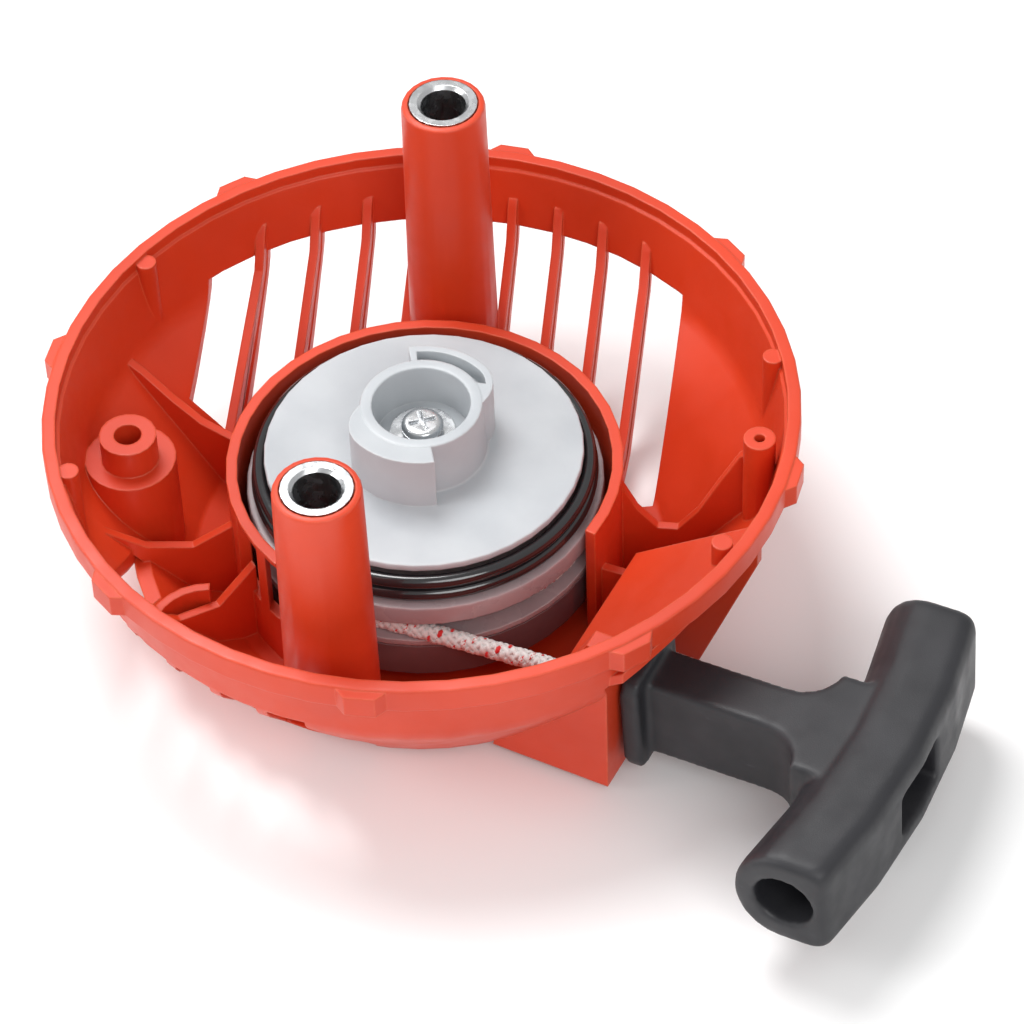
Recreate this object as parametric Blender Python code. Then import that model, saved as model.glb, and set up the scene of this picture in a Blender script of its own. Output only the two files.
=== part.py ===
"""Recoil starter of a small engine: louvred housing, rope reel, springs, drive cam and pull handle.

Metres, +Z up. The origin is on the reel's axis, on the flat face that the housing rests on. The two mounting
posts lie along Y, and the rope leaves the housing towards +X, turned a little to the front.
"""

import math

import bmesh
import bpy
from mathutils import Matrix, Vector

# Fits
GAP = 0.0003
RUNNING_GAP = 0.0006
OVERSHOOT = 0.004

# Housing: a bowl, open upwards
HOUSING_HEIGHT = 0.048
WALL = 0.0022
FLOOR = 0.0025
RIM_RADIUS = 0.075
RIM_WIDTH = 0.0027
RIM_HEIGHT = 0.0058
RIM_ROUNDING = 0.0006
RIM_STEP = 0.0028
WALL_DRAFT = 0.0016
WALL_KNEE_DEPTH = 0.019
WALL_KNEE_ROUNDING = 0.009
FOOT_RADIUS = 0.045
FOOT_SLOPE_RADIUS = 0.0505
FOOT_BEVEL = 0.002
LUG_ANGLES = (88, 46, -4, -45.5, -86, -130, 179, 133.5)
LUG_LENGTH = 0.0095
LUG_HEIGHT = 0.0018

# Well ring round the reel
WELL_RADIUS = 0.0376
WELL_WALL = 0.0022
WELL_DEPTH = 0.0164
WELL_OPEN_FROM = -100
WELL_OPEN_TO = -20

# Louvres: slots between bars that run along Y
SLOT_PITCH = 0.0100
SLOT_WIDTH = 0.0077
SLOT_FIRST_X = -0.0515
REAR_SLOTS = 10
FRONT_SLOTS = 5
SLOT_TOP_DEPTH = 0.0155
FRONT_SLOT_END_DEPTH = 0.033
SLOT_INNER_RADIUS = 0.0435
SLOT_SIDE_END_Y = 0.021
FIN_RISE = 0.0022
FIN_TOP_DEPTH = 0.0085
FIN_WIDTH = 0.0019

# Mounting posts and their bushes
POST_X = -0.0063
POST_SPACING = 0.1075
POST_RISE = 0.0305
POST_TIP_RADIUS = 0.0085
POST_FOOT_RADIUS = 0.0095
POST_TIP_ROUNDING = 0.0008
BUSH_BORE_RADIUS = 0.0046
BUSH_WALL = 0.0011
BUSH_FLANGE_RADIUS = 0.0069
BUSH_FLANGE = 0.0008
BUSH_LENGTH = 0.026
BUSH_LIFT = 0.0002
BUSH_CHAMFER = 0.0007
BOLT_RECESS_RADIUS = 0.0075
BOLT_RECESS_TOP = 0.012

# Small locating pins and bosses
PIN_RADIUS = 0.0021
PIN_PLACES = ((-0.0644, 0.0297), (-0.0640, -0.0298), (0.0659, 0.0261), (0.0647, -0.0250))
PIN_DEPTH = 0.0008
SCREW_BOSS_PLACE = (0.067, 0.004)
SCREW_BOSS_RADIUS = 0.0032
SCREW_BOSS_DEPTH = 0.0015
PILOT_RADIUS = 0.0011
PILOT_LENGTH = 0.012
STEP_BOSS_PLACE = (-0.0588, -0.0085)
STEP_BOSS_RADIUS = 0.0058
STEP_BOSS_SHOULDER_RADIUS = 0.0092
STEP_BOSS_DEPTH = 0.0115
STEP_BOSS_RISE = 0.0066
STEP_BOSS_BORE_RADIUS = 0.0028
RIB = 0.0018

# Spindle, sleeve, screw and washer in the middle
SPINDLE_RADIUS = 0.0046
SLEEVE_WALL = 0.0008
ANCHOR_RADIUS = 0.0095
ANCHOR_DEPTH = 0.033
INSERT_RADIUS = 0.0031
INSERT_LENGTH = 0.011
SCREW_RADIUS = 0.0020
SCREW_LENGTH = 0.014
SCREW_HEAD_RADIUS = 0.0042
SCREW_HEAD_HEIGHT = 0.0026
RECESS_WIDTH = 0.0011
RECESS_LENGTH = 0.0044
RECESS_DEPTH = 0.0013
WASHER_RADIUS = 0.0066
WASHER_THICKNESS = 0.0010
THRUST_WASHER_THICKNESS = 0.0008

# Reel: upper flange, rope groove and lower flange, with the spring case under it
REEL_RADIUS = 0.0360
REEL_TOP_DEPTH = 0.0208
UPPER_FLANGE = 0.0049
GROOVE_WIDTH = 0.0045
LOWER_FLANGE = 0.0014
REEL_CORE_RADIUS = 0.0155
REEL_HUB_RADIUS = 0.0110
REEL_TRAY_RADIUS = 0.0325
REEL_TRAY_DEPTH = 0.0030
CASE_DEPTH = 0.0404
CASE_WALL = 0.0016
CASE_PLATE = 0.0011
CASE_COVER = 0.0009
CASE_HOLE_RADIUS = 0.0105
SPRING_TURNS = 5
SPRING_STRIP = 0.0006
SPRING_STEPS = 22

# Drive cam on top of the reel
CAM_RADIUS = 0.0320
CAM_DEPTH = 0.0126
CAM_THICKNESS = 0.0018
CAM_HUB_RADIUS = 0.0122
CAM_HUB_BORE_RADIUS = 0.00975
CAM_HUB_FLOOR_DEPTH = 0.0092
CAM_LUG_REACH = 0.0162
CAM_LUG_START = 12
CAM_LUG_END = 112
CAM_POCKET_DEPTH = 0.0040
CAM_LUG_WALL = 0.0016
ASSIST_WIRE_RADIUS = 0.00145
ASSIST_TURNS = 2
ASSIST_TOP_RADIUS = 0.0326
ASSIST_BOTTOM_RADIUS = 0.0334

# Rope and its exit
ROPE_RADIUS = 0.0020
ROPE_ANGLE = -15
PULL_OFFSET = 0.0255
PULL_DEPTH = 0.0310
ROPE_INSET = 0.0011
ROPE_SIDES = 8
KNOT_RADIUS = 0.0038
REEL_KNOT_ANGLE = 97
EXIT_FACE = 0.0592
EXIT_INNER = 0.0465
EXIT_FRONT_WIDTH = 0.0128
EXIT_BACK_WIDTH = 0.0265
CHEEK_START = 0.0340
EXIT_WALL = 0.0021
EXIT_DROP = 0.0022
RAMP_TOP = 0.0715
RAMP_TOP_DEPTH = 0.0035
RAMP_SLOPE = 0.78
POCKET_FRONT = 0.0120
GUIDE_BORE_RADIUS = 0.0027
MOUTH_RADIUS = 0.0046
GUIDE_TUBE_RADIUS = 0.0040
GUIDE_FLANGE_RADIUS = 0.0058
GUIDE_FLANGE = 0.0009
GUIDE_LENGTH = 0.0070

# Pull handle
SEAT_GAP = 0.0012
HANDLE_FLANGE_WIDTH = 0.0180
HANDLE_FLANGE_HEIGHT = 0.0250
HANDLE_FLANGE = 0.0038
NECK_WIDTH = 0.0106
NECK_HEIGHT = 0.0195
GRIP_LENGTH = 0.0725
GRIP_DEPTH = 0.0195
GRIP_HEIGHT = 0.0225
GRIP_OUTER = 0.1157
GRIP_BOW = 0.0042
GRIP_ROUNDING = 0.0028
GRIP_END_BORE_RADIUS = 0.0060
GRIP_END_BORE_LENGTH = 0.0190
KNOT_POCKET_WIDTH = 0.0165
KNOT_POCKET_HEIGHT = 0.0115
KNOT_POCKET_DEPTH = 0.0105
NECK_FILLET = 0.0080

# Facets round a full turn
FINE = 54
ROUND = 40
SMALL = 18
POST_STEPS = 24

# Worked out from the sizes above
SLEEVE_INNER = SPINDLE_RADIUS + GAP
SLEEVE_OUTER = SLEEVE_INNER + SLEEVE_WALL
RUNNING_BORE = SLEEVE_OUTER + GAP
GROOVE_TOP_DEPTH = REEL_TOP_DEPTH + UPPER_FLANGE
GROOVE_BOTTOM_DEPTH = GROOVE_TOP_DEPTH + GROOVE_WIDTH
REEL_BOTTOM_DEPTH = GROOVE_BOTTOM_DEPTH + LOWER_FLANGE
ROPE_DEPTH = (GROOVE_TOP_DEPTH + GROOVE_BOTTOM_DEPTH) / 2
WRAP_RADIUS = REEL_RADIUS - ROPE_INSET - ROPE_RADIUS
POST_Y = POST_SPACING / 2
RIM_INNER = RIM_RADIUS - RIM_WIDTH
SEAT = EXIT_FACE + SEAT_GAP
GRIP_CROWN = GRIP_OUTER + GRIP_BOW

ORANGE = (0.78, 0.055, 0.012)
MILK = (0.62, 0.64, 0.66)
SMOKE = (0.16, 0.10, 0.11)
STEEL = (0.62, 0.62, 0.64)
BLACK = (0.018, 0.018, 0.020)
CHARCOAL = (0.040, 0.039, 0.045)
SPRING_STEEL = (0.20, 0.19, 0.19)
BRASS = (0.70, 0.50, 0.20)
WHITE = (0.80, 0.78, 0.77)


def at(depth):
    """Height of a level that is given by its depth below the rim."""
    return HOUSING_HEIGHT - depth


def rope_frame():
    """Turns a place given as (along the rope, across to the back, up) into world coordinates."""
    return Matrix.Rotation(math.radians(ROPE_ANGLE), 4, "Z") @ Matrix.Translation((0, -PULL_OFFSET, 0))


def rope_bend():
    """Where the rope, leaving the reel, turns into the pull's line, just inside the guide."""
    return rope_frame() @ Vector((EXIT_FACE - GUIDE_LENGTH - GUIDE_FLANGE, 0, at(PULL_DEPTH)))


def rope_leaving():
    """The angle of the straight rope between the reel and the bend, touching the wound rope."""
    bend = rope_bend()
    reach = math.hypot(bend.x, bend.y)
    return math.atan2(bend.y, bend.x) - math.acos(WRAP_RADIUS / reach) + math.pi / 2


def clear_scene():
    for obj in list(bpy.data.objects):
        bpy.data.objects.remove(obj, do_unlink=True)


def material(name, colour, roughness, metallic=0.0, transmission=0.0):
    made = bpy.data.materials.new(name)
    made.use_nodes = True
    shader = made.node_tree.nodes["Principled BSDF"]
    shader.inputs["Base Color"].default_value = (*colour, 1)
    shader.inputs["Roughness"].default_value = roughness
    shader.inputs["Metallic"].default_value = metallic
    shader.inputs["Transmission Weight"].default_value = transmission
    made.diffuse_color = (*colour, 1)
    return made


def to_object(name, shape, finish=None):
    """Makes an object of a bmesh. Without a finish it is a helper, which isn't built."""
    bmesh.ops.remove_doubles(shape, verts=shape.verts, dist=1e-7)
    bmesh.ops.recalc_face_normals(shape, faces=shape.faces)
    if shape.calc_volume(signed=True) < 0:
        bmesh.ops.reverse_faces(shape, faces=shape.faces)
    mesh = bpy.data.meshes.new(name)
    shape.to_mesh(mesh)
    shape.free()
    mesh.shade_smooth()
    mesh.set_sharp_from_angle(angle=math.radians(35))
    obj = bpy.data.objects.new(name, mesh)
    bpy.context.scene.collection.objects.link(obj)
    if finish is None:
        obj.hide_render = True
        obj.display_type = "WIRE"
    else:
        mesh.materials.append(finish)
    return obj


def rounded(corners, steps=2):
    """An outline whose corners (x, y, radius) are rounded. A radius of 0 keeps the corner."""
    points = []
    count = len(corners)
    for i, (x, y, radius) in enumerate(corners):
        here = Vector((x, y))
        if radius <= 0:
            points.append(here)
            continue
        before = (Vector(corners[i - 1][:2]) - here).normalized()
        after = (Vector(corners[(i + 1) % count][:2]) - here).normalized()
        half = before.angle(after) / 2
        centre = here + (before + after).normalized() * radius / math.sin(half)
        start = here + before * radius / math.tan(half) - centre
        turn = start.angle_signed(here + after * radius / math.tan(half) - centre)
        for k in range(steps + 1):
            angle = -turn * k / steps
            points.append(centre + Matrix.Rotation(angle, 2) @ start)
    return [tuple(p) for p in points]


def arc(radius, start, end, steps, centre=(0.0, 0.0)):
    """Points on an arc, its angles in degrees."""
    angles = [math.radians(start + (end - start) * k / steps) for k in range(steps + 1)]
    return [(centre[0] + radius * math.cos(a), centre[1] + radius * math.sin(a)) for a in angles]


def turned(profile, steps=ROUND):
    """A solid turned about Z from a closed outline of (radius, height)."""
    shape = bmesh.new()
    verts = [shape.verts.new((radius, 0, height)) for radius, height in profile]
    edges = [shape.edges.new((verts[i - 1], verts[i])) for i in range(len(verts))]
    bmesh.ops.spin(
        shape, geom=verts + edges, cent=(0, 0, 0), axis=(0, 0, 1), angle=math.tau, steps=steps, use_merge=True
    )
    bmesh.ops.remove_doubles(shape, verts=shape.verts, dist=1e-6)
    on_axis = [edge for edge in shape.edges if not edge.link_faces]
    bmesh.ops.delete(shape, geom=on_axis, context="EDGES")
    return shape


def extruded(outline, low, high):
    """A flat outline of (x, y), raised from low to high."""
    shape = bmesh.new()
    face = shape.faces.new([shape.verts.new((x, y, low)) for x, y in outline])
    made = bmesh.ops.extrude_face_region(shape, geom=[face])
    top = [v for v in made["geom"] if isinstance(v, bmesh.types.BMVert)]
    bmesh.ops.translate(shape, verts=top, vec=(0, 0, high - low))
    return shape


def box(low, high):
    return extruded([(low[0], low[1]), (high[0], low[1]), (high[0], high[1]), (low[0], high[1])], low[2], high[2])


def cylinder(radius, low, high, centre=(0, 0), top_radius=None, steps=SMALL):
    shape = bmesh.new()
    place = Matrix.Translation((centre[0], centre[1], (low + high) / 2))
    upper = radius if top_radius is None else top_radius
    bmesh.ops.create_cone(
        shape, cap_ends=True, segments=steps, radius1=radius, radius2=upper, depth=high - low, matrix=place
    )
    return shape


def upright_plate(outline, low, high):
    """An outline of (along, up) as a plate, from low to high across."""
    shape = extruded(outline, -high, -low)
    bmesh.ops.rotate(shape, verts=shape.verts, cent=(0, 0, 0), matrix=Matrix.Rotation(math.pi / 2, 3, "X"))
    return shape


def moved(shape, matrix):
    bmesh.ops.transform(shape, matrix=matrix, verts=shape.verts)
    return shape


def along_rope(shape):
    return moved(shape, rope_frame())


def rod_along(radius, start, end, across=0.0, up=0.0, steps=SMALL):
    """A rod that lies along the rope's line."""
    shape = cylinder(radius, start, end, steps=steps)
    bmesh.ops.rotate(shape, verts=shape.verts, cent=(0, 0, 0), matrix=Matrix.Rotation(math.pi / 2, 3, "Y"))
    bmesh.ops.translate(shape, verts=shape.verts, vec=(0, across, up))
    return shape


def combine(target, shape, operation):
    """Cuts a shape from the target, joins it on, or keeps what lies inside it."""
    tool = to_object(f"{target.name}_{operation.lower()}_{len(target.modifiers):02d}", shape)
    step = target.modifiers.new(tool.name, "BOOLEAN")
    step.operation = operation
    step.solver = "MANIFOLD"
    step.object = tool
    return tool


def trimmed(shape, room):
    """What is left of a shape inside the room object, as a new bmesh."""
    whole = to_object("untrimmed", shape)
    step = whole.modifiers.new("room", "BOOLEAN")
    step.operation = "INTERSECT"
    step.solver = "MANIFOLD"
    step.object = room
    bpy.context.view_layer.update()
    kept = bmesh.new()
    kept.from_mesh(whole.evaluated_get(bpy.context.evaluated_depsgraph_get()).data)
    bpy.data.objects.remove(whole, do_unlink=True)
    return kept


def cut(target, shape):
    return combine(target, shape, "DIFFERENCE")


def join(target, shape):
    return combine(target, shape, "UNION")


# Housing


def bowl_outside(bottom):
    """The wall's outer outline below the rim, from the rim down to the foot."""
    wall_top = RIM_INNER - 0.0001
    knee = wall_top - WALL_DRAFT
    return [
        (wall_top, at(RIM_HEIGHT), 0),
        (knee, at(WALL_KNEE_DEPTH), WALL_KNEE_ROUNDING),
        (FOOT_SLOPE_RADIUS, bottom + FOOT_BEVEL, FOOT_BEVEL),
        (FOOT_RADIUS, bottom, FOOT_BEVEL),
    ]


def bowl_inside(floor):
    """The wall's inner outline, from the floor up to the rim."""
    knee = RIM_INNER - WALL_DRAFT - WALL
    return [
        (FOOT_RADIUS - WALL, floor, FOOT_BEVEL),
        (FOOT_SLOPE_RADIUS - WALL, floor + FOOT_BEVEL, FOOT_BEVEL),
        (knee, at(WALL_KNEE_DEPTH), WALL_KNEE_ROUNDING),
        (RIM_INNER - 0.0006, at(RIM_STEP), 0),
        (RIM_INNER, at(RIM_STEP - 0.0003), 0),
    ]


def bowl():
    outline = [(0, 0, 0), (0, FLOOR, 0), *bowl_inside(FLOOR)]
    outline += [
        (RIM_INNER, at(0), 0),
        (RIM_RADIUS, at(0), RIM_ROUNDING),
        (RIM_RADIUS, at(RIM_HEIGHT), RIM_ROUNDING),
        *bowl_outside(0),
    ]
    return turned(rounded(outline), FINE)


def inside_of_bowl():
    """All the room within the housing's outer surface and above it, which trims what stands on the wall."""
    skin = WALL / 2
    outline = [(0, skin, 0)]
    outline += [(r - skin, z + skin, rounding) for r, z, rounding in reversed(bowl_outside(0)[1:])]
    outline += [(RIM_INNER - skin / 2, at(RIM_HEIGHT) + skin, 0), (RIM_INNER + skin, at(RIM_HEIGHT) + 2 * skin, 0)]
    outline += [(RIM_INNER + skin, at(-0.1), 0), (0, at(-0.1), 0)]
    return turned(rounded(outline), FINE)


def lug(angle):
    half = LUG_LENGTH / 2
    outline = [
        (RIM_RADIUS - 0.001, -half * 1.15),
        (RIM_RADIUS + LUG_HEIGHT, -half * 0.62),
        (RIM_RADIUS + LUG_HEIGHT, half * 0.62),
        (RIM_RADIUS - 0.001, half * 1.15),
    ]
    inset = RIM_ROUNDING * 0.7
    shape = extruded(outline, at(RIM_HEIGHT - inset), at(inset))
    return moved(shape, Matrix.Rotation(math.radians(angle), 4, "Z"))


def well_ring():
    """The ring round the reel, open to the front where the rope leaves."""
    outer = WELL_RADIUS + WELL_WALL
    steps = ROUND - 8
    start = WELL_OPEN_TO
    end = WELL_OPEN_FROM + 360
    outline = arc(outer, start, end, steps) + arc(WELL_RADIUS, end, start, steps)
    return extruded(outline, FLOOR / 2, at(WELL_DEPTH))


def slot_x(index):
    return SLOT_FIRST_X + SLOT_PITCH * index


def rear_slot(index):
    """A slot that reaches from high on the wall down to the foot of the well ring."""
    left = slot_x(index) - SLOT_WIDTH / 2
    right = slot_x(index) + SLOT_WIDTH / 2
    ends = []
    for x in (left, (left + right) / 2, right):
        reach = math.sqrt(max(SLOT_INNER_RADIUS**2 - x * x, 0))
        ends.append((x, max(reach, SLOT_SIDE_END_Y)))
    outline = [*ends, (right, RIM_RADIUS + OVERSHOOT), (left, RIM_RADIUS + OVERSHOOT)]
    return extruded(outline, -OVERSHOOT, at(SLOT_TOP_DEPTH))


def front_slot(index):
    left = slot_x(index) - SLOT_WIDTH / 2
    right = slot_x(index) + SLOT_WIDTH / 2
    shape = box((left, -RIM_RADIUS, at(FRONT_SLOT_END_DEPTH)), (right, -SLOT_SIDE_END_Y, at(SLOT_TOP_DEPTH + 0.002)))
    return shape


def louvre_fin(index):
    """A fin behind a louvre bar, a little proud of the wall, its top end above the slots."""
    x = slot_x(index) + SLOT_PITCH / 2
    wall = bowl_inside(FLOOR)
    foot, slope, knee = (Vector(p[:2]) for p in wall[:3])
    top = Vector((RIM_INNER - 0.001, at(FIN_TOP_DEPTH)))
    reach = [math.sqrt(max(p.x**2 - x * x, 0)) for p in (slope, knee, top)]
    heights = [slope.y, knee.y, top.y]
    low_y = max(math.sqrt(max(SLOT_INNER_RADIUS**2 - x * x, 0)), SLOT_SIDE_END_Y) - 0.002
    outline = [
        (low_y, heights[0]),
        (low_y, heights[0] + FIN_RISE),
        (reach[0], heights[0] + FIN_RISE * 2.2),
        (reach[1] - FIN_RISE, heights[1] + FIN_RISE / 2),
        (reach[2] - FIN_RISE, heights[2] - FIN_RISE),
        (reach[2] - FIN_RISE / 2, heights[2] - FIN_RISE / 3),
        (reach[2] + 0.001, heights[2]),
        (reach[1] + 0.0008, heights[1] - 0.0008),
        (reach[0] + 0.001, heights[0] - 0.001),
    ]
    shape = upright_plate(outline, -FIN_WIDTH / 2, FIN_WIDTH / 2)
    place = Matrix.Translation((x, 0, 0)) @ Matrix.Rotation(math.pi / 2, 4, "Z")
    return moved(shape, place)


def post(y):
    """A drafted post with a rounded tip."""
    tip = at(-POST_RISE)
    outline = [
        (0, FLOOR / 2, 0),
        (POST_FOOT_RADIUS, FLOOR / 2, 0),
        (POST_TIP_RADIUS, tip, POST_TIP_ROUNDING),
        (0, tip, 0),
    ]
    return moved(turned(rounded(outline), POST_STEPS), Matrix.Translation((POST_X, y, 0)))


def post_bore(y):
    """The bush's seat at the tip, the bolt's way through, and the recess for the bolt's head from below."""
    tip = at(-POST_RISE)
    seat = BUSH_BORE_RADIUS + BUSH_WALL + GAP
    seat_end = tip - BUSH_LENGTH - GAP
    outline = [
        (0, -OVERSHOOT),
        (BOLT_RECESS_RADIUS, -OVERSHOOT),
        (BOLT_RECESS_RADIUS, BOLT_RECESS_TOP),
        (BUSH_BORE_RADIUS, BOLT_RECESS_TOP),
        (BUSH_BORE_RADIUS, seat_end),
        (seat, seat_end),
        (seat, tip - BUSH_FLANGE - GAP),
        (BUSH_FLANGE_RADIUS + GAP, tip - BUSH_FLANGE - GAP),
        (BUSH_FLANGE_RADIUS + GAP, tip + OVERSHOOT),
        (0, tip + OVERSHOOT),
    ]
    half_facet = Matrix.Rotation(math.pi / POST_STEPS, 4, "Z")
    return moved(turned(outline, POST_STEPS), Matrix.Translation((POST_X, y, 0)) @ half_facet)


def radial_rib(start, end, angle, heights):
    """A rib along a radius, from start to end, whose top edge runs smoothly through the given heights."""
    count = len(heights) - 1
    top = [(start + (end - start) * i / count, h) for i, h in enumerate(heights)]
    outline = [(start, FLOOR / 2), *top, (end, FLOOR / 2)]
    shape = upright_plate(outline, -RIB / 2, RIB / 2)
    return moved(shape, Matrix.Rotation(math.radians(angle), 4, "Z"))


def curved_wall(radius, start, end, centre, top):
    """A thin wall along an arc."""
    steps = 8
    outline = arc(radius + RIB / 2, start, end, steps, centre) + arc(radius - RIB / 2, end, start, steps, centre)
    return extruded(outline, FLOOR / 2, top)


def ramp_height(along):
    """Top of the ramp that roofs the recess for the handle's foot."""
    return at(RAMP_TOP_DEPTH) - (RAMP_TOP - along) * RAMP_SLOPE


def exit_block():
    """The block that the rope leaves through, with the ramp that rises from it to the rim."""
    outline = [
        (EXIT_INNER, EXIT_DROP),
        (EXIT_FACE + EXIT_WALL, EXIT_DROP),
        (RIM_RADIUS, at(RIM_HEIGHT) - EXIT_WALL),
        (RIM_RADIUS, at(RAMP_TOP_DEPTH)),
        (RAMP_TOP, at(RAMP_TOP_DEPTH)),
        (EXIT_INNER, ramp_height(EXIT_INNER)),
    ]
    return along_rope(upright_plate(outline, -EXIT_FRONT_WIDTH, EXIT_BACK_WIDTH))


def exit_cheek():
    """The flat front cheek of the exit block, which runs on to meet the bowl's wall."""
    knee = at(WALL_KNEE_DEPTH)
    outline = [
        (CHEEK_START, EXIT_DROP),
        (EXIT_FACE, EXIT_DROP),
        (EXIT_FACE, at(RIM_HEIGHT)),
        (EXIT_FACE - 0.004, at(RIM_HEIGHT)),
        (EXIT_FACE - 0.011, knee),
        (CHEEK_START + 0.001, EXIT_DROP + 0.005),
    ]
    front = -EXIT_FRONT_WIDTH
    return along_rope(upright_plate(outline, front, front + 2 * EXIT_WALL))


def handle_recess():
    """Room under the rim for the handle's foot, open to the front and below."""
    roof = EXIT_WALL / math.cos(math.atan(RAMP_SLOPE))
    far = RIM_RADIUS + OVERSHOOT
    outline = [
        (EXIT_FACE, -OVERSHOOT),
        (far, -OVERSHOOT),
        (far, ramp_height(RAMP_TOP) - roof),
        (RAMP_TOP, ramp_height(RAMP_TOP) - roof),
        (EXIT_FACE, ramp_height(EXIT_FACE) - roof),
    ]
    return along_rope(upright_plate(outline, -EXIT_FRONT_WIDTH - 2 * OVERSHOOT, EXIT_BACK_WIDTH - EXIT_WALL))


def ramp_pocket():
    """The hollow behind the ramp, beside the rope's tunnel."""
    roof = EXIT_WALL / math.cos(math.atan(RAMP_SLOPE))
    inner = EXIT_INNER + EXIT_WALL
    outline = [
        (inner, -OVERSHOOT),
        (EXIT_FACE + OVERSHOOT, -OVERSHOOT),
        (EXIT_FACE + OVERSHOOT, ramp_height(EXIT_FACE + OVERSHOOT) - roof),
        (inner, ramp_height(inner) - roof),
    ]
    return along_rope(upright_plate(outline, POCKET_FRONT, EXIT_BACK_WIDTH - EXIT_WALL))


def guide_seat():
    z = at(PULL_DEPTH)
    seat = rod_along(GUIDE_TUBE_RADIUS + GAP, EXIT_FACE - GUIDE_LENGTH - GAP, EXIT_FACE + OVERSHOOT, up=z)
    return along_rope(seat)


def build_housing(finish):
    housing = to_object("housing", bowl(), finish)
    for angle in LUG_ANGLES:
        join(housing, lug(angle))
    join(housing, well_ring())
    join(housing, cylinder(ANCHOR_RADIUS, FLOOR / 2, at(ANCHOR_DEPTH), steps=ROUND))
    for index in range(REAR_SLOTS):
        cut(housing, rear_slot(index))
    for index in range(FRONT_SLOTS):
        cut(housing, front_slot(index))

    room = to_object("bowl_room", inside_of_bowl())

    def join_inside(shape):
        join(housing, trimmed(shape, room))

    for index in range(REAR_SLOTS - 1):
        join_inside(louvre_fin(index))
    for y in (-POST_Y, POST_Y):
        join_inside(post(y))
    for place in PIN_PLACES:
        join_inside(cylinder(PIN_RADIUS, at(WALL_KNEE_DEPTH + 0.006), at(PIN_DEPTH), place, steps=16))
    join_inside(cylinder(SCREW_BOSS_RADIUS, at(CASE_DEPTH), at(SCREW_BOSS_DEPTH), SCREW_BOSS_PLACE))
    shoulder = at(STEP_BOSS_DEPTH + STEP_BOSS_RISE)
    join_inside(cylinder(STEP_BOSS_SHOULDER_RADIUS, FLOOR / 2, shoulder, STEP_BOSS_PLACE, steps=SMALL + 8))
    join_inside(cylinder(STEP_BOSS_RADIUS, shoulder - 0.001, at(STEP_BOSS_DEPTH), STEP_BOSS_PLACE))

    well_side = WELL_RADIUS + WELL_WALL / 2
    low = at(0.031)
    wing = [at(WELL_DEPTH + 0.001), at(0.026), low, low, at(0.0255), at(0.017), at(0.009), at(0.006)]
    reach = math.hypot(*SCREW_BOSS_PLACE)
    join_inside(radial_rib(well_side, reach, math.degrees(math.atan2(*reversed(SCREW_BOSS_PLACE))) + 2, wing))
    left_wing = [at(WELL_DEPTH + 0.010), at(0.030), at(0.0285), at(0.0245), at(0.0195), at(0.016)]
    join_inside(radial_rib(well_side, RIM_INNER, 165, left_wing))
    join_inside(radial_rib(well_side, EXIT_INNER + 0.006, -15, [at(0.029), at(0.0285), at(0.027)]))
    join_inside(radial_rib(well_side, RIM_INNER - 0.006, -158, [at(0.026), at(0.031), at(0.029), at(0.022)]))
    join_inside(radial_rib(well_side, RIM_INNER - 0.008, -140, [at(0.026), at(0.0335), at(0.033), at(0.027)]))
    join_inside(curved_wall(0.011, 100, 215, (-0.036, -0.040), at(0.030)))
    rim_room = to_object("rim_room", cylinder(RIM_RADIUS - RIM_WIDTH / 2, -OVERSHOOT, at(-OVERSHOOT), steps=FINE))
    for shape in (exit_block(), exit_cheek()):
        join(housing, trimmed(shape, rim_room))
    cut(housing, handle_recess())
    cut(housing, ramp_pocket())
    cut(housing, guide_seat())
    tunnel = rod_along(GUIDE_BORE_RADIUS, EXIT_INNER - OVERSHOOT, EXIT_FACE + OVERSHOOT, up=at(PULL_DEPTH))
    cut(housing, along_rope(tunnel))
    mouth = rod_along(
        MOUTH_RADIUS, EXIT_INNER - OVERSHOOT, EXIT_FACE - GUIDE_LENGTH - GAP, up=at(PULL_DEPTH)
    )
    cut(housing, along_rope(mouth))
    flange_seat = rod_along(
        GUIDE_FLANGE_RADIUS + GAP, EXIT_FACE - GUIDE_FLANGE, EXIT_FACE + OVERSHOOT, up=at(PULL_DEPTH)
    )
    cut(housing, along_rope(flange_seat))

    for y in (-POST_Y, POST_Y):
        cut(housing, post_bore(y))
    pilot_end = at(SCREW_BOSS_DEPTH + PILOT_LENGTH)
    cut(housing, cylinder(PILOT_RADIUS, pilot_end, at(-OVERSHOOT), SCREW_BOSS_PLACE, steps=12))
    cut(housing, cylinder(STEP_BOSS_BORE_RADIUS, at(0.030), at(-OVERSHOOT), STEP_BOSS_PLACE))
    join(housing, cylinder(SPINDLE_RADIUS, FLOOR / 2, at(CAM_HUB_FLOOR_DEPTH + GAP), steps=SMALL))
    insert_low = at(CAM_HUB_FLOOR_DEPTH + GAP + INSERT_LENGTH) - GAP
    cut(housing, cylinder(INSERT_RADIUS + GAP, insert_low, at(0), steps=SMALL))
    cut(housing, cylinder(SCREW_RADIUS + GAP, insert_low - 0.005, at(0), steps=SMALL))
    return housing


# Fixed pieces on the housing


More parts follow.
